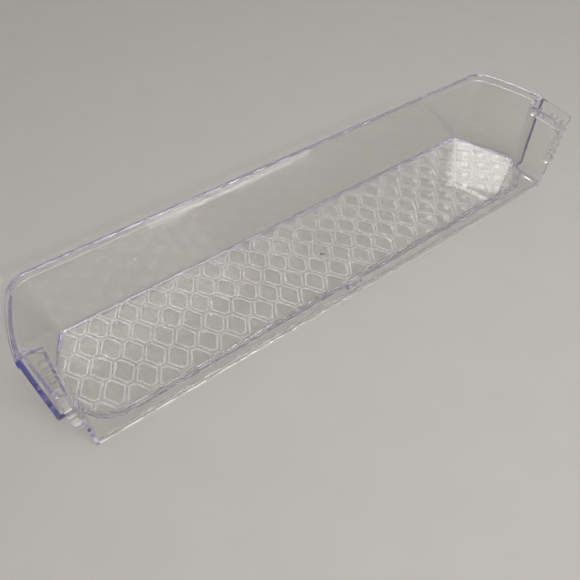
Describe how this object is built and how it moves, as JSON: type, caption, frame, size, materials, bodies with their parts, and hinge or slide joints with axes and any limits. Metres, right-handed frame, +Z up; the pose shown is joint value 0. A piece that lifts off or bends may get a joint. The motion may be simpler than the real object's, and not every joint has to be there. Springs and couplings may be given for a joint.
{
  "type": "refrigerator door shelf",
  "caption": "Clear moulded refrigerator door shelf: a long tray with a tall front wall, curved ends, a low rear lip and ribbed hook pockets at both ends.",
  "frame": {"origin": "middle of the underside of the bounding box", "axes": "+X along the shelf's length, +Y towards its tall front wall and away from the refrigerator door, +Z up"},
  "size_m": [0.5166, 0.111, 0.078],
  "materials": {
    "clear_polystyrene": "water-clear moulded polystyrene, polished, with a violet tint where it is seen edge-on"
  },
  "bodies": {
    "root": {"door_shelf": "clear_polystyrene"}
  },
  "joints": []
}
